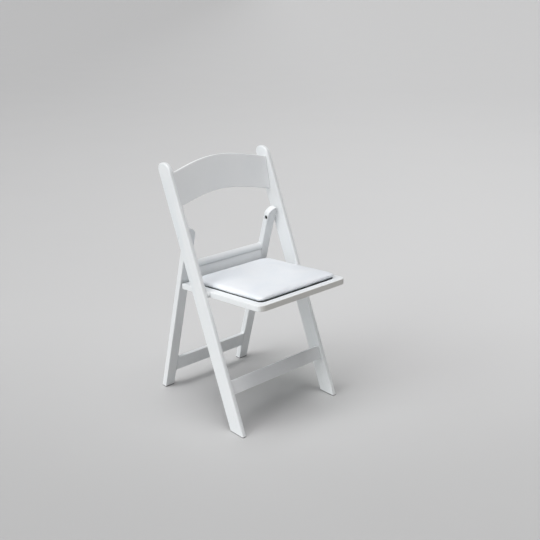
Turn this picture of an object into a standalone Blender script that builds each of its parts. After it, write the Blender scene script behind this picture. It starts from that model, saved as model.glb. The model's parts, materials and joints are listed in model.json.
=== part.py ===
"""White resin folding chair with a padded seat, in metres.

X runs across the chair, -Y is the front, +Z is up, and the floor is at Z = 0.
Three groups of pieces move against each other: the back frame (posts, backrest and front
stretcher), the rear-leg frame hinged on the posts at LEG_PIVOT, and the seat hinged on the
posts at SEAT_PIVOT. Each group is modelled in its own tilted frame, held by an empty.
"""
from math import atan, cos, pi, sin, sqrt

import bmesh
import bpy
from mathutils import Matrix, Vector

# ---- whole chair ----
TOP_HEIGHT = 0.776           # top of the posts
OUTER_WIDTH = 0.404          # over the two posts
GAP = 0.0003                 # left between pieces that touch
GLIDE_THICKNESS = 0.0025
FLOOR_CUT = GLIDE_THICKNESS + GAP
BELOW_FLOOR = -0.03          # legs are made this much too long, then cut level

# ---- posts: front leg and back upright in one ----
POST_SLOPE = 0.423           # backward travel for each metre of height
POST_LEAN = atan(POST_SLOPE)
POST_FRONT_AT_FLOOR = -0.1962
POST_THICKNESS = 0.015
POST_DEPTH = 0.0551
POST_INNER_X = OUTER_WIDTH / 2 - POST_THICKNESS
POST_ROUNDING = 0.0040
POST_TOP_FRONT_RADIUS = 0.0360
POST_TOP_REAR_RADIUS = POST_DEPTH - POST_TOP_FRONT_RADIUS

# ---- rear legs ----
LEG_SLOPE = 0.267
LEG_LEAN = atan(LEG_SLOPE)
LEG_PIVOT = Vector((0, 0.0873, 0.556))
LEG_INNER_X = 0.1435         # at the foot; the legs splay outwards as they rise
LEG_OUTER_X = 0.1785
LEG_INNER_SPLAY = 0.0065     # outward travel for each metre along the leg
LEG_OUTER_SPLAY = 0.0035
LEG_THICKNESS = 0.0204
LEG_CENTRE_Y = 0.0020        # the leg's centre plane lies this far behind its pivot
LEG_FRONT_Y = LEG_CENTRE_Y - LEG_THICKNESS / 2
LEG_TOP = 0.0325             # above the pivot, along the leg
LEG_TOP_RADIUS = 0.028
LEG_ROUNDING = 0.0022
LEG_BOTTOM = -LEG_PIVOT.z / cos(LEG_LEAN) + BELOW_FLOOR

# ---- seat ----
SEAT_SLOPE = atan(0.085)
SEAT_PIVOT = Vector((0, -0.0132, 0.4017))
SEAT_HALF_WIDTH = 0.17675
SEAT_HALF_THICKNESS = 0.00905
SEAT_FRONT = -0.2348
SEAT_RAIL_END = 0.1308
SEAT_CORNER_RADIUS = 0.024
SEAT_ROUNDING = 0.0022
TONGUE_HALF_WIDTH = 0.1425
LIP_FRONT = 0.1165
LIP_REAR = 0.1418
RECESS_HALF_WIDTH = 0.1505
RECESS_FRONT = -0.2105
RECESS_REAR = 0.1095
RECESS_DEPTH = 0.008
RECESS_CORNER = 0.016
POCKET_DEPTH = 0.0065
POCKETS_ACROSS = 4           # columns, and as many rows
POCKETS_HALF_WIDTH = 0.148
POCKETS_FRONT = -0.206
POCKETS_REAR = 0.105
RIB_THICKNESS = 0.005

# ---- cross members ----
CROSSBAR_RADIUS = 0.012
CROSSBAR_FLARE = 0.0024      # fillet where the bar meets a leg
CROSSBAR_DROP = 0.1082       # below the leg pivot, along the leg
CROSSBAR_CLEARANCE = 0.0012
STRETCHER_ROUNDING = 0.0022
REAR_STRETCHER_TOP = -0.4627
REAR_STRETCHER_BOTTOM = -0.5134
REAR_STRETCHER_THICKNESS = 0.0105
REAR_STRETCHER_FILLET = 0.0065
FRONT_STRETCHER_FRONT = 0.0065
FRONT_STRETCHER_THICKNESS = 0.014
FRONT_STRETCHER_TOP = 0.1732
FRONT_STRETCHER_BOTTOM = 0.1309

# ---- backrest: arched along its edges and bowed backwards in plan ----
BACKREST_THICKNESS = 0.011
BACKREST_BOW = 0.0115
BACKREST_SHARPNESS = 0.4                    # 0 is a plain parabola; more narrows the crown
BACKREST_TOP = (0.7460, 0.0281, 0.0116)     # height at the ends, rise at the middle, set-back
BACKREST_BOTTOM = (0.6425, 0.0262, 0.0329)
BACKREST_ROUNDING = 0.0022

# ---- pad ----
PAD_HALF_WIDTH = 0.1490
PAD_FRONT = -0.2088
PAD_REAR = 0.1080
PAD_TOP = 0.0210             # above the rim of the seat
PAD_CORNER = 0.014
PAD_ROUNDING = 0.008
BOARD_INSET = 0.0090         # the pad's edge overhangs its board
BOARD_THICKNESS = 0.0050

# ---- fasteners ----
DOWEL_RADIUS = 0.0025
PIN_RADIUS = 0.0040
BUSH_RADIUS = 0.0056
SPACER_RADIUS = 0.0105
HEAD_RADIUS = 0.0052
NUT_RADIUS = 0.0060
SCREW_RADIUS = 0.0020
SCREW_HEAD_RADIUS = 0.0045
SCREW_X = 0.1125
ROUND_SIDES = 24
SMALL_SIDES = 12
SIDES = {"left": 1, "right": -1}      # the sitter's left is +X

MATERIALS = {
    "white_resin": ((0.84, 0.86, 0.87), 0.38, 0.0),
    "white_vinyl": ((0.86, 0.87, 0.90), 0.42, 0.0),
    "grey_rubber": ((0.22, 0.22, 0.23), 0.80, 0.0),
    "zinc_steel": ((0.55, 0.56, 0.58), 0.35, 1.0),
    "black_steel": ((0.05, 0.05, 0.055), 0.45, 0.8),
    "plywood": ((0.55, 0.40, 0.24), 0.70, 0.0),
}


# ---------------------------------------------------------------- scene helpers
def clear_scene():
    for item in list(bpy.data.objects):
        bpy.data.objects.remove(item, do_unlink=True)


def new_collection(name):
    collection = bpy.data.collections.new(name)
    bpy.context.scene.collection.children.link(collection)
    return collection


def new_material(name, colour, roughness, metallic):
    material = bpy.data.materials.new(name)
    material.use_nodes = True
    shader = material.node_tree.nodes["Principled BSDF"]
    shader.inputs["Base Color"].default_value = (*colour, 1.0)
    shader.inputs["Roughness"].default_value = roughness
    shader.inputs["Metallic"].default_value = metallic
    return material


def new_frame(name, location, tilt):
    """An empty at a joint's axis, turned about X so that its own axes follow the tilted pieces."""
    frame = bpy.data.objects.new(name, None)
    frame.location = location
    frame.rotation_euler = (tilt, 0, 0)
    PARTS.objects.link(frame)
    return frame


def mesh_object(name, mesh, frame, material):
    item = bpy.data.objects.new(name, mesh)
    item.parent = frame
    PARTS.objects.link(item)
    mesh.materials.clear()
    mesh.materials.append(bpy.data.materials[material])
    mesh.shade_smooth()
    mesh.set_sharp_from_angle(angle=0.6)
    return item


def cutter_object(name, mesh, frame):
    cutter = bpy.data.objects.new(name, mesh)
    cutter.parent = frame
    cutter.hide_render = True
    cutter.display_type = 'WIRE'
    CUTTERS.objects.link(cutter)
    return cutter


def bevel(item, width, segments=2):
    modifier = item.modifiers.new("rounded edges", 'BEVEL')
    modifier.width = width
    modifier.segments = segments
    modifier.limit_method = 'ANGLE'
    modifier.angle_limit = 0.6
    return item


def boolean(item, cutter, operation='DIFFERENCE'):
    modifier = item.modifiers.new(cutter.name, 'BOOLEAN')
    modifier.operation = operation
    modifier.object = cutter
    return item


# ---------------------------------------------------------------- mesh helpers
def box_mesh(name, low, high):
    low, high = Vector(low), Vector(high)
    bm = bmesh.new()
    bmesh.ops.create_cube(bm, size=1.0)
    bmesh.ops.scale(bm, vec=high - low, verts=bm.verts)
    bmesh.ops.translate(bm, vec=(high + low) / 2, verts=bm.verts)
    return finished_mesh(name, bm)


def finished_mesh(name, bm):
    bmesh.ops.recalc_face_normals(bm, faces=bm.faces)
    mesh = bpy.data.meshes.new(name)
    bm.to_mesh(mesh)
    bm.free()
    return mesh


def add_turned(bm, profile, y, z, side=1, sides=ROUND_SIDES):
    """Turn a profile of (x, radius) pairs about the line along X through y, z."""
    verts = [bm.verts.new((side * x, y, z + radius)) for x, radius in profile]
    edges = [bm.edges.new(pair) for pair in zip(verts, verts[1:])]
    bmesh.ops.spin(bm, geom=verts + edges, cent=(0, y, z), axis=(1, 0, 0), angle=2 * pi,
                   steps=sides, use_duplicate=False)
    bmesh.ops.remove_doubles(bm, verts=bm.verts, dist=0.00001)


def rod_profile(x_low, x_high, radius):
    return [(x_low, 0), (x_low, radius), (x_high, radius), (x_high, 0)]


def ring_profile(x_low, x_high, hole, radius):
    return [(x_low, hole), (x_low, radius), (x_high, radius), (x_high, hole), (x_low, hole)]


def turned_mesh(name, profiles, sides=ROUND_SIDES, chair_sides=(1, -1)):
    """One mesh of turned solids; each entry is (profile, y, z), repeated on the sides given."""
    bm = bmesh.new()
    for profile, y, z in profiles:
        for side in chair_sides:
            add_turned(bm, profile, y, z, side, sides)
    return finished_mesh(name, bm)


def turned_pair(name, profile, y, z, frame, material, sides=ROUND_SIDES, place=""):
    """The same turned piece on the left and the right of the chair, as two objects."""
    for label, side in SIDES.items():
        piece = f"{name}_{label}{place}"
        mesh = turned_mesh(piece, [(profile, y, z)], sides, (side,))
        mesh_object(piece, mesh, frame, material)


def arc(centre_u, centre_v, radius, start, end, steps):
    """Points of an arc; angles in turns of pi."""
    points = []
    for i in range(steps + 1):
        angle = pi * (start + (end - start) * i / steps)
        points.append((centre_u + radius * cos(angle), centre_v + radius * sin(angle)))
    return points


def outline_mesh(name, outline, low, high, plane):
    """A flat outline extruded from low to high along the axis that the plane leaves out."""
    curve = bpy.data.curves.new(name, 'CURVE')
    curve.dimensions = '2D'
    curve.fill_mode = 'BOTH'
    curve.extrude = (high - low) / 2
    spline = curve.splines.new('POLY')
    spline.points.add(len(outline) - 1)
    for point, (u, v) in zip(spline.points, outline):
        point.co = (u, v, 0, 1)
    spline.use_cyclic_u = True
    holder = bpy.data.objects.new(name, curve)
    bpy.context.scene.collection.objects.link(holder)
    depsgraph = bpy.context.evaluated_depsgraph_get()
    mesh = bpy.data.meshes.new_from_object(holder.evaluated_get(depsgraph))
    bpy.data.objects.remove(holder, do_unlink=True)
    middle = (high + low) / 2
    axes = {
        "YZ": Matrix(((0, 0, 1, middle), (1, 0, 0, 0), (0, 1, 0, 0), (0, 0, 0, 1))),
        "XZ": Matrix(((1, 0, 0, 0), (0, 0, 1, middle), (0, 1, 0, 0), (0, 0, 0, 1))),
        "XY": Matrix.Translation((0, 0, middle)),
    }
    bm = bmesh.new()
    bm.from_mesh(mesh)
    bpy.data.meshes.remove(mesh)
    bmesh.ops.remove_doubles(bm, verts=bm.verts, dist=0.00002)
    bmesh.ops.transform(bm, matrix=axes[plane], verts=bm.verts)
    bmesh.ops.dissolve_limit(bm, angle_limit=0.001, verts=bm.verts, edges=bm.edges)
    return finished_mesh(name, bm)


def mirrored(half):
    """A closed outline from its +X half, listed from the front centre to the rear centre."""
    return half + [(-u, v) for u, v in reversed(half)]


def floor_cutter():
    return cutter_object("floor_cut", box_mesh("floor_cut", (-0.5, -0.6, -0.2), (0.5, 0.6, FLOOR_CUT)),
                         None)


def bore(name, targets, profiles, frame, sides=ROUND_SIDES):
    """Cut turned holes on both sides of the chair into every target."""
    cutter = cutter_object(name, turned_mesh(name, profiles, sides), frame)
    for target in targets:
        boolean(target, cutter)


# ---------------------------------------------------------------- back frame
def post_outline():
    front, rear = POST_TOP_FRONT_RADIUS, POST_TOP_REAR_RADIUS
    front_centre = (TOP_HEIGHT - front + front * sin(POST_LEAN)) / cos(POST_LEAN)
    rear_centre = front_centre + front - rear
    points = [(0, BELOW_FLOOR), (POST_DEPTH, BELOW_FLOOR)]
    points += arc(front, rear_centre, rear, 0, 0.5, 8)
    return points + arc(front, front_centre, front, 0.5, 1, 10)[1:]


def make_posts(floor):
    posts = []
    for label, side in SIDES.items():
        name = "post_" + label
        low, high = sorted((side * POST_INNER_X, side * OUTER_WIDTH / 2))
        post = mesh_object(name, outline_mesh(name, post_outline(), low, high, "YZ"),
                           POST_FRAME, "white_resin")
        bevel(post, POST_ROUNDING, 3)
        posts.append(boolean(post, floor))
    return posts


def backrest_point(across, up):
    """World position on the panel's front face; across runs -1..1 and up runs 0..1."""
    crown = (1 - across ** 2) / (1 + BACKREST_SHARPNESS * across ** 2)
    low = BACKREST_BOTTOM[0] + BACKREST_BOTTOM[1] * crown
    high = BACKREST_TOP[0] + BACKREST_TOP[1] * crown
    z = low + (high - low) * up
    set_back = BACKREST_BOTTOM[2] + (BACKREST_TOP[2] - BACKREST_BOTTOM[2]) * up
    y = POST_FRONT_AT_FLOOR + POST_SLOPE * z + set_back + BACKREST_BOW * crown
    return Vector((across * (POST_INNER_X - GAP), y, z))


def make_backrest():
    bm = bmesh.new()
    columns, rows = 26, 3
    bmesh.ops.create_grid(bm, x_segments=columns, y_segments=rows, size=1.0)
    for vert in bm.verts:
        vert.co = backrest_point(vert.co.x, (vert.co.y + 1) / 2)
    panel = mesh_object("backrest_panel", finished_mesh("backrest_panel", bm), None, "white_resin")
    if panel.data.polygons[0].normal.y > 0:
        panel.data.flip_normals()
    shell = panel.modifiers.new("thickness", 'SOLIDIFY')
    shell.thickness = BACKREST_THICKNESS
    shell.offset = -1
    bevel(panel, BACKREST_ROUNDING)
    square_ends(panel)
    return panel


def square_ends(panel):
    """Trim the panel's ends flat, so that they meet the posts face to face."""
    for side in (1, -1):
        low, high = sorted((side * (POST_INNER_X - GAP), side * 0.3))
        cutter = cutter_object("backrest_end_cut", box_mesh("backrest_end_cut", (low, 0, 0.5),
                                                            (high, 0.4, 0.9)), None)
        boolean(panel, cutter)


def make_front_stretcher():
    half = POST_INNER_X - GAP
    mesh = box_mesh("front_stretcher", (-half, FRONT_STRETCHER_FRONT, FRONT_STRETCHER_BOTTOM),
                    (half, FRONT_STRETCHER_FRONT + FRONT_STRETCHER_THICKNESS, FRONT_STRETCHER_TOP))
    return bevel(mesh_object("front_stretcher", mesh, POST_FRAME, "white_resin"),
                 STRETCHER_ROUNDING)


def make_dowels(name, places, x_inner, x_outer, frame, targets, radius=DOWEL_RADIUS):
    """Steel dowels across a joint, one for each named (y, z) place at both ends of the member."""
    holes = []
    for place, (y, z) in places.items():
        turned_pair(name, rod_profile(x_inner, x_outer, radius), y, z, frame, "zinc_steel",
                    SMALL_SIDES, place)
        holes.append((rod_profile(x_inner - GAP, x_outer + GAP, radius + GAP), y, z))
    bore(name + "_holes", targets, holes, frame, SMALL_SIDES)


def backrest_dowel_places():
    places = {}
    for place, up in (("_lower", 0.25), ("_upper", 0.75)):
        point = backrest_point(1, up)
        places[place] = (point.y + BACKREST_THICKNESS / 2, point.z)
    return places


def make_glides(name, frame_slope, front_at_floor, depth, x_low, x_high):
    """Flat pads under the feet, set in a little from the edges of the foot."""
    inset = 0.0012
    front = front_at_floor + frame_slope * GLIDE_THICKNESS
    for label, side in SIDES.items():
        low, high = sorted((side * (x_low + inset), side * (x_high - inset)))
        piece = f"{name}_{label}"
        mesh = box_mesh(piece, (low, front + inset, 0), (high, front + depth - inset, GLIDE_THICKNESS))
        mesh_object(piece, mesh, None, "grey_rubber")


# ---------------------------------------------------------------- rear-leg frame
def leg_inner(height):
    """X of the leg's inner edge, at a height along the leg from its pivot."""
    return LEG_INNER_X + LEG_INNER_SPLAY * (height - LEG_BOTTOM)


def leg_outer(height):
    return LEG_OUTER_X + LEG_OUTER_SPLAY * (height - LEG_BOTTOM)


def leg_outline(side):
    """Front view of a rear leg, its inner top corner a quarter round."""
    corner = LEG_TOP - LEG_TOP_RADIUS
    points = [(LEG_OUTER_X, LEG_BOTTOM), (leg_outer(LEG_TOP), LEG_TOP)]
    points += arc(leg_inner(corner) + LEG_TOP_RADIUS, corner, LEG_TOP_RADIUS, 0.5, 1, 8)
    points += [(LEG_INNER_X, LEG_BOTTOM)]
    return [(side * u, v) for u, v in points]


def make_rear_legs(floor):
    legs = []
    for label, side in SIDES.items():
        name = "rear_leg_" + label
        mesh = outline_mesh(name, leg_outline(side), LEG_FRONT_Y, LEG_FRONT_Y + LEG_THICKNESS, "XZ")
        leg = bevel(mesh_object(name, mesh, LEG_FRAME, "white_resin"), LEG_ROUNDING)
        legs.append(boolean(leg, floor))
    return legs


def make_crossbar():
    half = leg_inner(-CROSSBAR_DROP - CROSSBAR_RADIUS) - GAP
    flare = arc(half - CROSSBAR_FLARE, CROSSBAR_RADIUS + CROSSBAR_FLARE, CROSSBAR_FLARE, -0.5, 0, 3)
    profile = [(-half, 0)] + [(-x, r) for x, r in reversed(flare)] + flare + [(half, 0)]
    mesh = turned_mesh("crossbar", [(profile, LEG_CENTRE_Y, -CROSSBAR_DROP)], chair_sides=(1,))
    return mesh_object("crossbar", mesh, LEG_FRAME, "white_resin")


def make_rear_stretcher():
    half = leg_inner(REAR_STRETCHER_BOTTOM) - GAP
    front = LEG_FRONT_Y + GAP
    fillet = REAR_STRETCHER_FILLET
    low, high = REAR_STRETCHER_BOTTOM, REAR_STRETCHER_TOP
    outline = [(0, low)] + list(reversed(arc(half - fillet, low - fillet, fillet, 0, 0.5, 4)))
    outline += arc(half - fillet, high + fillet, fillet, 0, -0.5, 4) + [(0, high)]
    mesh = outline_mesh("rear_stretcher", mirrored(outline), front, front + REAR_STRETCHER_THICKNESS,
                        "XZ")
    return bevel(mesh_object("rear_stretcher", mesh, LEG_FRAME, "white_resin"), STRETCHER_ROUNDING)


# ---------------------------------------------------------------- leg pivots
def make_leg_pivots(posts, legs):
    """Bolt, cap, spacer and barrel nut at each side, all on the leg pivot's axis."""
    outer = OUTER_WIDTH / 2
    head_low, head_high = outer - 0.0060, outer - 0.0033
    cap_low, cap_high = outer - 0.0030, outer - 0.0013
    inner_face, outer_face = leg_inner(0), leg_outer(SPACER_RADIUS)
    nut_low, nut_high = inner_face + 0.0025, inner_face + 0.0165
    bolt_tip = nut_high + 0.0005
    bolt = [(bolt_tip, 0), (bolt_tip, PIN_RADIUS), (head_low, PIN_RADIUS), (head_low, HEAD_RADIUS),
            (head_high, HEAD_RADIUS), (head_high, 0)]
    pieces = {
        "leg_pivot_bolt": (bolt, "zinc_steel"),
        "leg_pivot_cap": (rod_profile(cap_low, cap_high, HEAD_RADIUS), "white_resin"),
        "leg_pivot_spacer": (ring_profile(outer_face + GAP, POST_INNER_X - GAP,
                                           PIN_RADIUS + GAP, SPACER_RADIUS), "white_resin"),
        "leg_pivot_nut": (rod_profile(nut_low, nut_high, NUT_RADIUS), "black_steel"),
    }
    for name, (profile, material) in pieces.items():
        turned_pair(name, profile, 0, 0, PIVOT_FRAME, material)
    shank, head, nut = PIN_RADIUS + GAP, HEAD_RADIUS + GAP, NUT_RADIUS + GAP
    shoulder, seat_of_nut = head_low - GAP, nut_high + GAP
    post_hole = [(POST_INNER_X - 0.01, 0), (POST_INNER_X - 0.01, shank), (shoulder, shank),
                 (shoulder, head), (outer + 0.01, head), (outer + 0.01, 0)]
    leg_hole = [(inner_face - 0.01, 0), (inner_face - 0.01, nut), (seat_of_nut, nut),
                (seat_of_nut, shank), (outer_face + 0.01, shank), (outer_face + 0.01, 0)]
    bore("leg_pivot_post_holes", posts, [(post_hole, 0, 0)], PIVOT_FRAME)
    bore("leg_pivot_leg_holes", legs, [(leg_hole, 0, 0)], PIVOT_FRAME)


# ---------------------------------------------------------------- seat
def seat_half_outline():
    """Top view of the seat's +X half: rounded front corner, rail end, and tongue between the legs."""
    radius = SEAT_CORNER_RADIUS
    points = [(0, SEAT_FRONT)]
    points += arc(SEAT_HALF_WIDTH - radius, SEAT_FRONT + radius, radius, -0.5, 0, 6)
    points += [(SEAT_HALF_WIDTH, SEAT_RAIL_END), (TONGUE_HALF_WIDTH, SEAT_RAIL_END),
               (TONGUE_HALF_WIDTH, LIP_REAR), (0, LIP_REAR)]
    return points


def rounded_rectangle(half_width, front, rear, radius, steps=4):
    half = [(0, front)]
    half += arc(half_width - radius, front + radius, radius, -0.5, 0, steps)
    half += arc(half_width - radius, rear - radius, radius, 0, 0.5, steps)
    return mirrored(half + [(0, rear)])


def crossbar_in_seat_frame():
    """Centre of the crossbar, (y, z), seen from the seat's tilted frame."""
    world = LEG_PIVOT + Matrix.Rotation(LEG_LEAN, 3, 'X') @ Vector((0, LEG_CENTRE_Y, -CROSSBAR_DROP))
    local = Matrix.Rotation(SEAT_SLOPE, 3, 'X') @ (world - SEAT_PIVOT)
    return local.y, local.z


def lip_outline():
    """Side view of the upright lip: a saddle under the crossbar, with a low hook behind it."""
    bar_y, bar_z = crossbar_in_seat_frame()
    radius = CROSSBAR_RADIUS + CROSSBAR_CLEARANCE
    hook_angle = -0.12
    front_reach = LIP_FRONT - bar_y
    front_angle = -1 + atan(sqrt(radius ** 2 - front_reach ** 2) / -front_reach) / pi
    saddle = arc(bar_y, bar_z, radius, front_angle, hook_angle, 6)
    foot = -SEAT_HALF_THICKNESS
    return ([(LIP_FRONT, foot)] + saddle + [(LIP_REAR, saddle[-1][1]), (LIP_REAR, foot)])


def make_seat_frame():
    thickness = SEAT_HALF_THICKNESS
    plate = outline_mesh("seat_frame", mirrored(seat_half_outline()), -thickness, thickness, "XY")
    seat = bevel(mesh_object("seat_frame", plate, SEAT_FRAME, "white_resin"), SEAT_ROUNDING)
    lip_half = TONGUE_HALF_WIDTH - 0.00005
    lip = cutter_object("seat_lip", outline_mesh("seat_lip", lip_outline(), -lip_half, lip_half, "YZ"),
                        SEAT_FRAME)
    boolean(seat, lip, 'UNION')
    recess = rounded_rectangle(RECESS_HALF_WIDTH, RECESS_FRONT, RECESS_REAR, RECESS_CORNER)
    boolean(seat, cutter_object("pad_recess", outline_mesh("pad_recess", recess,
                                                           thickness - RECESS_DEPTH, 0.05, "XY"),
                                SEAT_FRAME))
    boolean(seat, cutter_object("underside_pockets", pocket_mesh(), SEAT_FRAME))
    return seat


def pocket_mesh():
    """Shallow pockets under the seat, leaving a grid of ribs."""
    cell_x = (2 * POCKETS_HALF_WIDTH + RIB_THICKNESS) / POCKETS_ACROSS - RIB_THICKNESS
    cell_y = (POCKETS_REAR - POCKETS_FRONT + RIB_THICKNESS) / POCKETS_ACROSS - RIB_THICKNESS
    bm = bmesh.new()
    for column in range(POCKETS_ACROSS):
        for row in range(POCKETS_ACROSS):
            made = bmesh.ops.create_cube(bm, size=1.0)["verts"]
            bmesh.ops.scale(bm, vec=(cell_x, cell_y, 2 * POCKET_DEPTH), verts=made)
            centre = (-POCKETS_HALF_WIDTH + cell_x / 2 + column * (cell_x + RIB_THICKNESS),
                      POCKETS_FRONT + cell_y / 2 + row * (cell_y + RIB_THICKNESS),
                      -SEAT_HALF_THICKNESS)
            bmesh.ops.translate(bm, vec=centre, verts=made)
    return finished_mesh("underside_pockets", bm)


def make_seat_pivots(posts, seat):
    """Pin, spacer and bush at each side, all on the seat pivot's axis."""
    pin_low, pin_high = SEAT_HALF_WIDTH - 0.0205, POST_INNER_X + 0.0100
    bush_low, bush_high = SEAT_HALF_WIDTH - 0.0215, SEAT_HALF_WIDTH - GAP
    pieces = {
        "seat_pivot_pin": (rod_profile(pin_low, pin_high, PIN_RADIUS), "zinc_steel"),
        "seat_pivot_spacer": (ring_profile(SEAT_HALF_WIDTH + GAP, POST_INNER_X - GAP,
                                            PIN_RADIUS + GAP, SPACER_RADIUS), "white_resin"),
        "seat_pivot_bush": (ring_profile(bush_low, bush_high, PIN_RADIUS + GAP, BUSH_RADIUS),
                              "black_steel"),
    }
    for name, (profile, material) in pieces.items():
        turned_pair(name, profile, 0, 0, SEAT_FRAME, material)
    post_hole = rod_profile(POST_INNER_X - 0.005, pin_high + GAP, PIN_RADIUS + GAP)
    rail_hole = rod_profile(bush_low - GAP, SEAT_HALF_WIDTH + 0.005, BUSH_RADIUS + GAP)
    bore("seat_pin_holes", posts, [(post_hole, 0, 0)], SEAT_FRAME)
    bore("seat_bush_holes", [seat], [(rail_hole, 0, 0)], SEAT_FRAME)


def make_pad_board():
    bottom = SEAT_HALF_THICKNESS - RECESS_DEPTH + GAP
    outline = rounded_rectangle(PAD_HALF_WIDTH - BOARD_INSET, PAD_FRONT + BOARD_INSET,
                                PAD_REAR - BOARD_INSET, RECESS_CORNER)
    mesh = outline_mesh("pad_board", outline, bottom, bottom + BOARD_THICKNESS, "XY")
    return mesh_object("pad_board", mesh, SEAT_FRAME, "plywood")


def make_pad():
    """Plain closed cushion, rounded along its upper edge."""
    bottom = SEAT_HALF_THICKNESS - RECESS_DEPTH + BOARD_THICKNESS + 2 * GAP
    top = SEAT_HALF_THICKNESS + PAD_TOP
    outline = rounded_rectangle(PAD_HALF_WIDTH, PAD_FRONT, PAD_REAR, PAD_CORNER)
    mesh = outline_mesh("seat_pad", outline, bottom, top, "XY")
    pad = mesh_object("seat_pad", mesh, SEAT_FRAME, "white_vinyl")
    return bevel(pad, PAD_ROUNDING, 3)


def make_pad_screws(seat, board):
    """Four screws driven up through the seat's web into the board."""
    head_high = -SEAT_HALF_THICKNESS + POCKET_DEPTH - GAP
    head_low = head_high - 0.0022
    tip = SEAT_HALF_THICKNESS - RECESS_DEPTH + BOARD_THICKNESS - 0.0010
    screw = [(head_low, 0), (head_low, SCREW_HEAD_RADIUS), (head_high, SCREW_HEAD_RADIUS),
             (head_high, SCREW_RADIUS), (tip, SCREW_RADIUS), (tip, 0)]
    hole_radius = SCREW_RADIUS + GAP
    hole = [(head_low, 0), (head_low, hole_radius), (tip + GAP, hole_radius), (tip + GAP, 0)]
    holes = bmesh.new()
    for label, side in SIDES.items():
        for place, y in (("front", PAD_FRONT + 0.044), ("rear", PAD_REAR - 0.038)):
            name = f"pad_screw_{label}_{place}"
            bm = bmesh.new()
            add_upright_turned(bm, screw, side * SCREW_X, y)
            mesh_object(name, finished_mesh(name, bm), SEAT_FRAME, "zinc_steel")
            add_upright_turned(holes, hole, side * SCREW_X, y)
    cutter = cutter_object("pad_screw_holes", finished_mesh("pad_screw_holes", holes), SEAT_FRAME)
    boolean(seat, cutter)
    boolean(board, cutter)


def add_upright_turned(bm, profile, x, y):
    """Turn a profile of (z, radius) pairs about the upright line through x, y."""
    verts = [bm.verts.new((x + radius, y, z)) for z, radius in profile]
    edges = [bm.edges.new(pair) for pair in zip(verts, verts[1:])]
    bmesh.ops.spin(bm, geom=verts + edges, cent=(x, y, 0), axis=(0, 0, 1), angle=2 * pi,
                   steps=SMALL_SIDES, use_duplicate=False)
    bmesh.ops.remove_doubles(bm, verts=bm.verts, dist=0.00001)


# ---------------------------------------------------------------- assembly
clear_scene()
PARTS = new_collection("folding_chair")
CUTTERS = new_collection("cutters")
for material_name, look in MATERIALS.items():
    new_material(material_name, *look)

POST_FRAME = new_frame("post_axis", (0, POST_FRONT_AT_FLOOR, 0), -POST_LEAN)
LEG_FRAME = new_frame("leg_axis", LEG_PIVOT, LEG_LEAN)
PIVOT_FRAME = new_frame("leg_pivot_axis", LEG_PIVOT, 0)
SEAT_FRAME = new_frame("seat_axis", SEAT_PIVOT, -SEAT_SLOPE)

floor_cut = floor_cutter()
post_pair = make_posts(floor_cut)
backrest = make_backrest()
front_stretcher = make_front_stretcher()
leg_pair = make_rear_legs(floor_cut)
crossbar = make_crossbar()
rear_stretcher = make_rear_stretcher()
seat_frame = make_seat_frame()
pad_board = make_pad_board()
make_pad()
make_pad_screws(seat_frame, pad_board)

make_leg_pivots(post_pair, leg_pair)
make_seat_pivots(post_pair, seat_frame)
make_dowels("backrest_dowel", backrest_dowel_places(), POST_INNER_X - 0.012, POST_INNER_X + 0.009,
            None, post_pair + [backrest])
front_mid_y = FRONT_STRETCHER_FRONT + FRONT_STRETCHER_THICKNESS / 2
make_dowels("front_stretcher_dowel", {"_lower": (front_mid_y, FRONT_STRETCHER_BOTTOM + 0.011),
                                      "_upper": (front_mid_y, FRONT_STRETCHER_TOP - 0.011)},
            POST_INNER_X - 0.020, POST_INNER_X + 0.009, POST_FRAME, post_pair + [front_stretcher])
rear_mid_y = LEG_FRONT_Y + REAR_STRETCHER_THICKNESS / 2
make_dowels("rear_stretcher_dowel", {"_lower": (rear_mid_y, REAR_STRETCHER_BOTTOM + 0.013),
                                     "_upper": (rear_mid_y, REAR_STRETCHER_TOP - 0.013)},
            LEG_INNER_X - 0.020, LEG_INNER_X + 0.020, LEG_FRAME, leg_pair + [rear_stretcher])
make_dowels("crossbar_dowel", {"": (LEG_CENTRE_Y, -CROSSBAR_DROP)},
            LEG_INNER_X - 0.020, LEG_INNER_X + 0.020, LEG_FRAME, leg_pair + [crossbar], PIN_RADIUS)

make_glides("front_glide", POST_SLOPE, POST_FRONT_AT_FLOOR, POST_DEPTH / cos(POST_LEAN),
            POST_INNER_X, OUTER_WIDTH / 2)
leg_front_at_floor = (LEG_PIVOT.y + (LEG_FRONT_Y + LEG_PIVOT.z * sin(LEG_LEAN)) / cos(LEG_LEAN))
make_glides("rear_glide", -LEG_SLOPE, leg_front_at_floor, LEG_THICKNESS / cos(LEG_LEAN),
            LEG_INNER_X, LEG_OUTER_X)
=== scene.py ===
import json
from math import atan, atan2, cos, exp, hypot, pi, radians, sin

import bmesh
import bpy
from mathutils import Matrix, Vector


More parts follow.
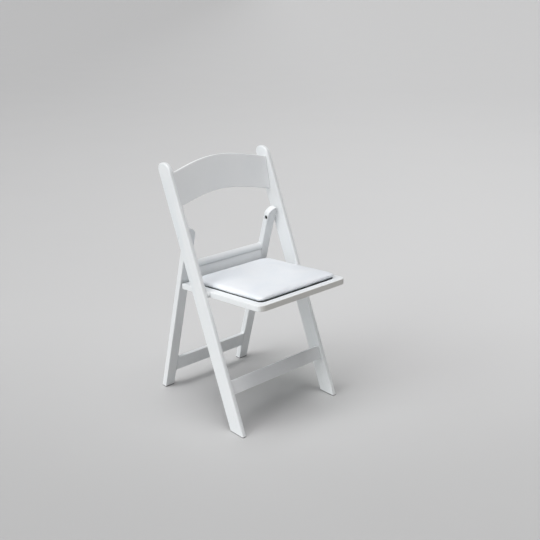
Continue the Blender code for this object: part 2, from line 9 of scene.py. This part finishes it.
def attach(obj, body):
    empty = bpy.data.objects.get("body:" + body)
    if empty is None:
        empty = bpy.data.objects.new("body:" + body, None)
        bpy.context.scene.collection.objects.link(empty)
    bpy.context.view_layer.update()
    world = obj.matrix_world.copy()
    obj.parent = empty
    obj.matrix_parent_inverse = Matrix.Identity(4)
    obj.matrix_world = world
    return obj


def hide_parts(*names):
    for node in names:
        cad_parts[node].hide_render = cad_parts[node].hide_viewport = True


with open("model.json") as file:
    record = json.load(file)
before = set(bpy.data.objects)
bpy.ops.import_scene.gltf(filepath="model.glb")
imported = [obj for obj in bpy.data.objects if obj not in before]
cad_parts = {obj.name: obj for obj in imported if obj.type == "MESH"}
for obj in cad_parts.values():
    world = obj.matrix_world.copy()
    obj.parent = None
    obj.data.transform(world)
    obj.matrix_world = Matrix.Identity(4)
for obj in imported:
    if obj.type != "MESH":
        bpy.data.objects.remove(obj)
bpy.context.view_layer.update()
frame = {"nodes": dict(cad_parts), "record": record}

# ---- the seat's tilted frame, and the pad's space in it, in metres ----
SEAT_PIVOT = Vector((0, -0.0132, 0.4017))
SEAT_SLOPE = atan(0.085)
SEAT_MATRIX = Matrix.Translation(SEAT_PIVOT) @ Matrix.Rotation(-SEAT_SLOPE, 4, 'X')
PAD_HALF_WIDTH = 0.1575
PAD_FRONT, PAD_REAR = -0.2130, 0.1095
PAD_BOTTOM, PAD_TOP = 0.0067, 0.0320
PAD_CORNER = 0.017
PAD_MIDDLE = (PAD_FRONT + PAD_REAR) / 2
PAD_HALF_DEPTH = (PAD_REAR - PAD_FRONT) / 2

# The pad before it is inflated, from its underside up: (inset from its outline, height)
PAD_RINGS = ((0.0160, 0.0), (0.0150, 0.0016), (0.0035, 0.0052), (0.0004, 0.0074), (0.0006, 0.0096),
             (0.0036, 0.0120), (0.0110, 0.0142))
PAD_VOXEL = 0.0037
PAD_PRESSURE = 3.0
PAD_MOST_SWELL = 0.0035
PAD_CROWN = 0.0080
CLOTH_STEPS = 20
HELD_HEIGHT = 0.0030              # the cloth is held below this, above the pad's underside
CROWN_START, CROWN_RANGE = 0.007, 0.007
WELT_HEIGHT, WELT_WIDTH, WELT_DEPTH = 0.0056, 0.0011, 0.0008
PLEAT_DEPTH = 0.0008
EDGE_START = 0.93                 # the share of the pad's half size where its edge begins

CAMERA_PLACE = Vector((-1.5798, -1.8199, 1.2945))
CAMERA_AZIMUTH, CAMERA_ELEVATION = radians(42.462), radians(19.689)
CAMERA_LENS, CAMERA_SENSOR = 54.72, 36.0


# ---------------------------------------------------------------- shader helpers
def new_material(name, metallic=0.0, **fixed):
    """A Principled material; returns (material, tree, shader, object coordinates)."""
    material = bpy.data.materials.new(name)
    material.use_nodes = True
    tree = material.node_tree
    shader = tree.nodes["Principled BSDF"]
    shader.inputs["Metallic"].default_value = metallic
    for socket, value in fixed.items():
        shader.inputs[socket.replace("_", " ")].default_value = value
    return material, tree, shader, tree.nodes.new("ShaderNodeTexCoord").outputs["Object"]


def stretched(tree, vector, scale):
    node = tree.nodes.new("ShaderNodeMapping")
    node.inputs["Scale"].default_value = scale
    tree.links.new(vector, node.inputs["Vector"])
    return node.outputs["Vector"]


def noise(tree, vector, scale, detail=2.0, distortion=0.0):
    node = tree.nodes.new("ShaderNodeTexNoise")
    node.inputs["Scale"].default_value = scale
    node.inputs["Detail"].default_value = detail
    node.inputs["Distortion"].default_value = distortion
    tree.links.new(vector, node.inputs["Vector"])
    return node.outputs["Fac"]


def voronoi(tree, vector, scale, feature='F1'):
    node = tree.nodes.new("ShaderNodeTexVoronoi")
    node.feature = feature
    node.inputs["Scale"].default_value = scale
    tree.links.new(vector, node.inputs["Vector"])
    return node.outputs["Distance"]


def remap(tree, value, low, high, to_low, to_high, smooth=True):
    node = tree.nodes.new("ShaderNodeMapRange")
    node.interpolation_type = 'SMOOTHSTEP' if smooth else 'LINEAR'
    ends = {"From Min": low, "From Max": high, "To Min": to_low, "To Max": to_high}
    for socket, number in ends.items():
        node.inputs[socket].default_value = number
    tree.links.new(value, node.inputs["Value"])
    return node.outputs["Result"]


def math(tree, operation, a, b):
    node = tree.nodes.new("ShaderNodeMath")
    node.operation = operation
    for socket, value in zip(node.inputs, (a, b)):
        if isinstance(value, (int, float)):
            socket.default_value = value
        else:
            tree.links.new(value, socket)
    return node.outputs["Value"]


def mix(tree, factor, a, b):
    node = tree.nodes.new("ShaderNodeMix")
    node.data_type = 'RGBA'
    tree.links.new(factor, node.inputs["Factor"])
    for socket, value in ((node.inputs["A"], a), (node.inputs["B"], b)):
        if isinstance(value, tuple):
            socket.default_value = (*value, 1.0)
        else:
            tree.links.new(value, socket)
    return node.outputs["Result"]


def bump(tree, height, strength, distance, normal=None):
    node = tree.nodes.new("ShaderNodeBump")
    node.inputs["Strength"].default_value = strength
    node.inputs["Distance"].default_value = distance
    tree.links.new(height, node.inputs["Height"])
    if normal is not None:
        tree.links.new(normal, node.inputs["Normal"])
    return node.outputs["Normal"]


def axis_value(tree, vector, axis):
    node = tree.nodes.new("ShaderNodeSeparateXYZ")
    tree.links.new(vector, node.inputs["Vector"])
    return node.outputs[axis]


def connect(tree, shader, colour, roughness, normal):
    tree.links.new(colour, shader.inputs["Base Color"])
    tree.links.new(roughness, shader.inputs["Roughness"])
    tree.links.new(normal, shader.inputs["Normal"])


# ---------------------------------------------------------------- materials
def white_resin(name="resin_white", painted_light=0.0):
    """Moulded resin: flow clouds, fine texture, polished edges, scuffs near the floor, and painted shade
    on the seat's front face.

    The second argument sets the strength of painted light: a paler patch, greatest at the sitter's
    right.
    """
    material, tree, shader, place = new_material(name, Specular_IOR_Level=0.45)
    clouds = noise(tree, place, 7.0, 4.0, 0.6)
    flow = noise(tree, stretched(tree, place, (9.0, 9.0, 2.2)), 4.0, 5.0, 1.2)
    body = mix(tree, remap(tree, clouds, 0.32, 0.68, 0, 1),
               (0.785, 0.815, 0.830), (0.835, 0.855, 0.862))
    body = mix(tree, remap(tree, flow, 0.58, 0.78, 0, 0.35), body, (0.770, 0.790, 0.800))
    geometry = tree.nodes.new("ShaderNodeNewGeometry")
    edge = remap(tree, geometry.outputs["Pointiness"], 0.505, 0.56, 0, 0.5)
    body = mix(tree, edge, body, (0.870, 0.880, 0.880))
    specks = remap(tree, noise(tree, place, 420.0, 3.0), 0.71, 0.78, 0, 0.16)
    body = mix(tree, specks, body, (0.56, 0.55, 0.53))
    low = remap(tree, axis_value(tree, place, "Z"), 0.015, 0.14, 1, 0)
    scratches = noise(tree, stretched(tree, place, (60.0, 60.0, 9.0)), 3.0, 6.0, 2.0)
    scuff = remap(tree, scratches, 0.60, 0.72, 0, 0.32)
    body = mix(tree, math(tree, 'MULTIPLY', low, scuff), body, (0.50, 0.49, 0.47))
    # Painted light: a paler patch laid over the body colour, strongest at the sitter's right.
    painted_light_mask = remap(tree, axis_value(tree, place, "X"), -0.19, 0.19, painted_light, painted_light * 0.45, smooth=False)
    body = mix(tree, painted_light_mask, body, (0.985, 1.0, 1.0))
    # Painted shade: forward-facing resin at the seat's front edge is darkened.
    painted_front_shade = remap(tree, axis_value(tree, place, "Y"), -0.215, -0.235, 0, 0.85)
    forward = remap(tree, axis_value(tree, place.node.outputs["Normal"], "Y"), -0.4, -0.9, 0, 1)
    body = mix(tree, math(tree, 'MULTIPLY', painted_front_shade, forward), body, (0.60, 0.585, 0.55))
    rough = remap(tree, noise(tree, place, 34.0, 5.0), 0.3, 0.7, 0.36, 0.50)
    rough = math(tree, 'SUBTRACT', rough, math(tree, 'MULTIPLY', edge, 0.14))
    grain = bump(tree, noise(tree, place, 1500.0, 3.0), 0.10, 0.0004)
    connect(tree, shader, body, rough, bump(tree, noise(tree, place, 24.0, 2.0), 0.05, 0.004, grain))
    return material


def white_vinyl():
    """Coated fabric: pebbled leather grain with painted shade in its hollows, soft creases, slightly
    glossier on the raised cells.
    """
    material, tree, shader, place = new_material("vinyl_white", Specular_IOR_Level=0.5)
    warped = noise(tree, place, 60.0, 2.0)
    cells = voronoi(tree, place, 620.0, 'SMOOTH_F1')
    fine = noise(tree, place, 1900.0, 4.0)
    pebble = math(tree, 'ADD', math(tree, 'MULTIPLY', cells, -0.8), math(tree, 'MULTIPLY', fine, 0.35))
    body = mix(tree, remap(tree, noise(tree, place, 9.0, 4.0, 0.5), 0.3, 0.7, 0, 1),
               (0.800, 0.835, 0.872), (0.845, 0.868, 0.893))
    # Painted shade: darker in the grain's hollows between the raised cells.
    body = mix(tree, remap(tree, cells, 0.55, 0.95, 0, 0.30), body, (0.68, 0.71, 0.75))
    rough = remap(tree, cells, 0.1, 0.9, 0.38, 0.56)
    rough = math(tree, 'ADD', rough, remap(tree, warped, 0.35, 0.65, -0.04, 0.04))
    creases = noise(tree, stretched(tree, place, (14.0, 22.0, 14.0)), 1.6, 3.0, 1.4)
    normal = bump(tree, creases, 0.10, 0.006)
    connect(tree, shader, body, rough, bump(tree, pebble, 0.35, 0.0005, normal))
    return material


def grey_rubber():
    material, tree, shader, place = new_material("rubber_grey", Specular_IOR_Level=0.3)
    dust = noise(tree, place, 160.0, 5.0)
    body = mix(tree, remap(tree, dust, 0.4, 0.75, 0, 1), (0.085, 0.085, 0.088), (0.22, 0.215, 0.205))
    rough = remap(tree, dust, 0.3, 0.7, 0.72, 0.90)
    connect(tree, shader, body, rough, bump(tree, noise(tree, place, 900.0, 3.0), 0.3, 0.0004))
    return material


def zinc_steel():
    material, tree, shader, place = new_material("steel_zinc", metallic=1.0)
    spangle = voronoi(tree, place, 900.0)
    turned = noise(tree, stretched(tree, place, (2500.0, 120.0, 120.0)), 1.0, 3.0)
    body = mix(tree, remap(tree, spangle, 0.1, 0.7, 0, 1), (0.50, 0.52, 0.55), (0.66, 0.67, 0.68))
    rough = remap(tree, turned, 0.3, 0.7, 0.26, 0.44)
    connect(tree, shader, body, rough, bump(tree, turned, 0.15, 0.0002))
    return material


def black_steel():
    material, tree, shader, place = new_material("steel_black", metallic=0.85)
    oxide = noise(tree, place, 700.0, 5.0)
    body = mix(tree, remap(tree, oxide, 0.45, 0.72, 0, 1), (0.030, 0.031, 0.034), (0.10, 0.09, 0.08))
    rough = remap(tree, oxide, 0.3, 0.7, 0.38, 0.60)
    connect(tree, shader, body, rough, bump(tree, oxide, 0.2, 0.0002))
    return material


def plywood():
    """Board coloured near black as painted shade for the shadowed gap below the pad's edge: long grain
    on the faces and thin plies on the edges.
    """
    material, tree, shader, place = new_material("plywood_board", Specular_IOR_Level=0.3)
    grain = noise(tree, stretched(tree, place, (90.0, 5.0, 5.0)), 3.0, 6.0, 1.5)
    plies = tree.nodes.new("ShaderNodeTexWave")
    plies.bands_direction = 'Z'
    plies.inputs["Scale"].default_value = 95.0
    plies.inputs["Distortion"].default_value = 0.6
    tree.links.new(place, plies.inputs["Vector"])
    # Painted shade: the board's body colour is near black to stand for the shadowed gap round the pad.
    body = mix(tree, remap(tree, grain, 0.3, 0.7, 0, 1), (0.055, 0.051, 0.048), (0.095, 0.086, 0.078))
    body = mix(tree, math(tree, 'MULTIPLY', plies.outputs["Fac"], 0.35), body, (0.045, 0.040, 0.036))
    rough = remap(tree, grain, 0.3, 0.7, 0.62, 0.80)
    connect(tree, shader, body, rough, bump(tree, grain, 0.3, 0.0006))
    return material


# ---------------------------------------------------------------- pad
def rounded_outline(half_width, half_depth, radius, steps):
    """Points round a rectangle with rounded corners, anticlockwise, about the origin."""
    points = []
    for quarter, (sx, sy) in enumerate(((1, -1), (1, 1), (-1, 1), (-1, -1))):
        for i in range(steps + 1):
            angle = pi * (-0.5 + quarter / 2 + i / steps / 2)
            points.append((sx * (half_width - radius) + radius * cos(angle),
                           sy * (half_depth - radius) + radius * sin(angle)))
    return points


def pad_block():
    """A closed block, flat below and flared out to an edge that stands clear of the seat's rim."""
    bm = bmesh.new()
    rings = []
    for inset, z in PAD_RINGS:
        outline = rounded_outline(PAD_HALF_WIDTH - inset, PAD_HALF_DEPTH - inset, PAD_CORNER, 6)
        rings.append([bm.verts.new((x, y + PAD_MIDDLE, PAD_BOTTOM + z)) for x, y in outline])
    bm.faces.new(list(reversed(rings[0])))
    for low, high in zip(rings, rings[1:]):
        for i in range(len(low)):
            j = (i + 1) % len(low)
            bm.faces.new((low[i], low[j], high[j], high[i]))
    bm.faces.new(rings[-1])
    mesh = bpy.data.meshes.new("pad_start")
    bm.to_mesh(mesh)
    bm.free()
    return mesh


def apply_modifiers(piece):
    """Turns the piece's modifiers, at this frame, into its mesh."""
    depsgraph = bpy.context.evaluated_depsgraph_get()
    mesh = bpy.data.meshes.new_from_object(piece.evaluated_get(depsgraph))
    piece.modifiers.clear()
    piece.data = mesh
    return piece


def link(name, mesh):
    piece = bpy.data.objects.new(name, mesh)
    bpy.context.scene.collection.objects.link(piece)
    return piece


def remeshed(piece, size):
    remesh = piece.modifiers.new("even mesh", 'REMESH')
    remesh.mode = 'VOXEL'
    remesh.voxel_size = size
    return apply_modifiers(piece)


def swell(piece, pressure, cap):
    """Inflates the pad as cloth held down by its underside, then limits how far a point has moved."""
    start = [v.co.copy() for v in piece.data.vertices]
    held = piece.vertex_groups.new(name="held")
    held.add([v.index for v in piece.data.vertices if v.co.z < PAD_BOTTOM + HELD_HEIGHT], 1.0, 'REPLACE')
    cloth = piece.modifiers.new("cloth", 'CLOTH')
    settings = cloth.settings
    settings.quality = 6
    settings.mass = 0.25
    settings.tension_stiffness = settings.compression_stiffness = 18
    settings.shear_stiffness = 8
    settings.bending_stiffness = 6.0
    settings.use_pressure = True
    settings.uniform_pressure_force = pressure
    settings.effector_weights.gravity = 0
    settings.vertex_group_mass = "held"
    settings.shrink_min = -0.003
    cloth.collision_settings.use_collision = False
    cloth.collision_settings.use_self_collision = False
    for step in range(1, CLOTH_STEPS + 1):
        bpy.context.scene.frame_set(step)
        bpy.context.view_layer.update()
    apply_modifiers(piece)
    bpy.context.scene.frame_set(1)
    for vert, before in zip(piece.data.vertices, start):
        moved = vert.co - before
        if moved.length > cap:
            vert.co = before + moved.normalized() * cap


def crown(x, y):
    """0 at the pad's edge, 1 over its middle."""
    across = min(1.0, abs(x) / PAD_HALF_WIDTH)
    along = min(1.0, abs(y - PAD_MIDDLE) / PAD_HALF_DEPTH)
    return (1 - across ** 4) * (1 - along ** 4)


def corner_pleats(x, y):
    """Small radial folds where the cover is gathered round each corner."""
    cx = abs(x) - (PAD_HALF_WIDTH - PAD_CORNER)
    cy = abs(y - PAD_MIDDLE) - (PAD_HALF_DEPTH - PAD_CORNER)
    if cx < -0.004 or cy < -0.004:
        return 0.0
    angle = atan2(max(cy, 0), max(cx, 0))
    return cos(angle * 20) * min(1.0, hypot(max(cx, 0), max(cy, 0)) / PAD_CORNER)


def shape_pad(piece):
    """Crowns the top, sinks the welted edge, adds pleats, and keeps the pad in its own space."""
    for vert in piece.data.vertices:
        x, y, z = vert.co
        up = min(1.0, max(0.0, (z - PAD_BOTTOM - CROWN_START) / CROWN_RANGE))
        z += up * PAD_CROWN * crown(x, y)
        welt = exp(-((z - PAD_BOTTOM - WELT_HEIGHT) / WELT_WIDTH) ** 2)
        out = Vector((x / PAD_HALF_WIDTH, (y - PAD_MIDDLE) / PAD_HALF_DEPTH)).normalized()
        rim = max(abs(x) / PAD_HALF_WIDTH, abs(y - PAD_MIDDLE) / PAD_HALF_DEPTH)
        if rim > EDGE_START:
            pull = -WELT_DEPTH * welt + PLEAT_DEPTH * corner_pleats(x, y) * (1 - up)
            x += out.x * pull
            y += out.y * pull
        x = max(-PAD_HALF_WIDTH, min(PAD_HALF_WIDTH, x))
        y = max(PAD_FRONT, min(PAD_REAR, y))
        vert.co = (x, y, max(PAD_BOTTOM, min(PAD_TOP, z)))


def make_pad():
    piece = remeshed(link("seat_cushion", pad_block()), PAD_VOXEL)
    swell(piece, PAD_PRESSURE, PAD_MOST_SWELL)
    relax = piece.modifiers.new("relax", 'SMOOTH')
    relax.factor = 0.5
    relax.iterations = 3
    apply_modifiers(piece)
    shape_pad(piece)
    smooth = piece.modifiers.new("smooth", 'SUBSURF')
    smooth.levels = smooth.render_levels = 1
    apply_modifiers(piece)
    for vert in piece.data.vertices:
        vert.co.z = max(vert.co.z, PAD_BOTTOM)
    piece.data.transform(SEAT_MATRIX)
    piece.data.shade_smooth()
    piece.data.materials.clear()
    piece.data.materials.append(MATERIALS["white_vinyl"])
    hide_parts("seat_pad")
    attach(piece, "seat")


# ---------------------------------------------------------------- stage, lights, camera
def make_floor():
    """A wide floor with painted light: palest behind the chair, painted darker in front, far away and to
    the left.
    """
    bm = bmesh.new()
    bmesh.ops.create_circle(bm, cap_ends=True, segments=96, radius=80.0)
    mesh = bpy.data.meshes.new("studio_floor")
    bm.to_mesh(mesh)
    bm.free()
    floor = link("studio_floor", mesh)
    material, tree, shader, place = new_material("studio_paper", Specular_IOR_Level=0.2)
    turned = tree.nodes.new("ShaderNodeMapping")
    turned.inputs["Rotation"].default_value = (0, 0, CAMERA_AZIMUTH)
    tree.links.new(place, turned.inputs["Vector"])
    depth, side = (axis_value(tree, turned.outputs["Vector"], axis) for axis in "YX")
    # Painted light and shade in the floor's colour: a pale pool behind the chair, darker in front, far
    # away and to the left.
    tone = mix(tree, remap(tree, depth, -0.9, 0.75, 0, 1), (0.508, 0.508, 0.504), (0.645, 0.645, 0.641))
    tone = mix(tree, remap(tree, depth, 0.9, 8.0, 0, 1), tone, (0.583, 0.583, 0.580))
    tone = mix(tree, remap(tree, side, 1.5, -3.5, 0, 0.42), tone, (0.36, 0.36, 0.36))
    fibre = remap(tree, noise(tree, place, 2.0, 3.0), 0.3, 0.7, 0, 0.02)
    body = mix(tree, fibre, tone, (0.75, 0.75, 0.75))
    rough = remap(tree, noise(tree, place, 300.0, 2.0), 0.3, 0.7, 0.80, 0.90)
    connect(tree, shader, body, rough, bump(tree, noise(tree, place, 900.0, 2.0), 0.05, 0.0003))
    mesh.materials.append(material)


def aim(item, location, target):
    item.location = location
    item.rotation_mode = 'QUATERNION'
    item.rotation_quaternion = (Vector(target) - Vector(location)).to_track_quat('-Z', 'Y')
    bpy.context.scene.collection.objects.link(item)


def soft_sun(name, towards, spread, strength, colour):
    """A very wide, even light without falloff; towards points from the chair to the light."""
    light = bpy.data.lights.new(name, 'SUN')
    light.angle = radians(spread)
    light.energy = strength
    light.color = colour
    aim(bpy.data.objects.new(name, light), Vector(towards) * 3, (0, 0, 0))


def make_world(horizon, zenith, colour):
    """Pale walls round the studio: bright low down, where they meet the floor, and dim overhead."""
    world = bpy.data.worlds.new("studio")
    world.use_nodes = True
    tree = world.node_tree
    background = tree.nodes["Background"]
    background.inputs["Color"].default_value = (*colour, 1.0)
    height = axis_value(tree, tree.nodes.new("ShaderNodeTexCoord").outputs["Generated"], "Z")
    tree.links.new(remap(tree, height, 0.0, 0.32, horizon, zenith), background.inputs["Strength"])
    bpy.context.scene.world = world


def make_camera():
    data = bpy.data.cameras.new("camera")
    data.lens = CAMERA_LENS
    data.sensor_width = CAMERA_SENSOR
    camera = bpy.data.objects.new("camera", data)
    level = cos(CAMERA_ELEVATION)
    ahead = Vector((sin(CAMERA_AZIMUTH) * level, cos(CAMERA_AZIMUTH) * level, -sin(CAMERA_ELEVATION)))
    aim(camera, CAMERA_PLACE, CAMERA_PLACE + ahead)
    bpy.context.scene.camera = camera


# ---------------------------------------------------------------- assembly
MATERIALS = {
    "white_resin": white_resin(),
    "white_vinyl": white_vinyl(),
    "grey_rubber": grey_rubber(),
    "zinc_steel": zinc_steel(),
    "black_steel": black_steel(),
    "plywood": plywood(),
}
# The backrest panel's resin carries painted light, paler towards the sitter's right.
PANEL_RESIN = white_resin("resin_white_panel", painted_light=0.85)
for row in frame["record"]["subparts"]:
    node = frame["nodes"][row["node"]]
    look = PANEL_RESIN if row["node"] == "backrest_panel" else MATERIALS[row["material_slot"]]
    for material_slot in node.material_slots:
        material_slot.material = look

make_camera()
make_pad()
make_floor()
soft_sun("overhead", (0.0, -0.10, 1.0), 34, 1.36, (0.99, 1.0, 1.0))
soft_sun("upper_left", (-0.46, -0.05, 1.0), 44, 1.12, (1.0, 0.97, 1.0))
soft_sun("left_wall", (-0.90, 0.16, 0.42), 44, 1.43, (0.96, 1.0, 1.0))
make_world(0.52, 0.095, (1.0, 0.98, 1.0))
bpy.context.scene.view_settings.view_transform = 'Standard'
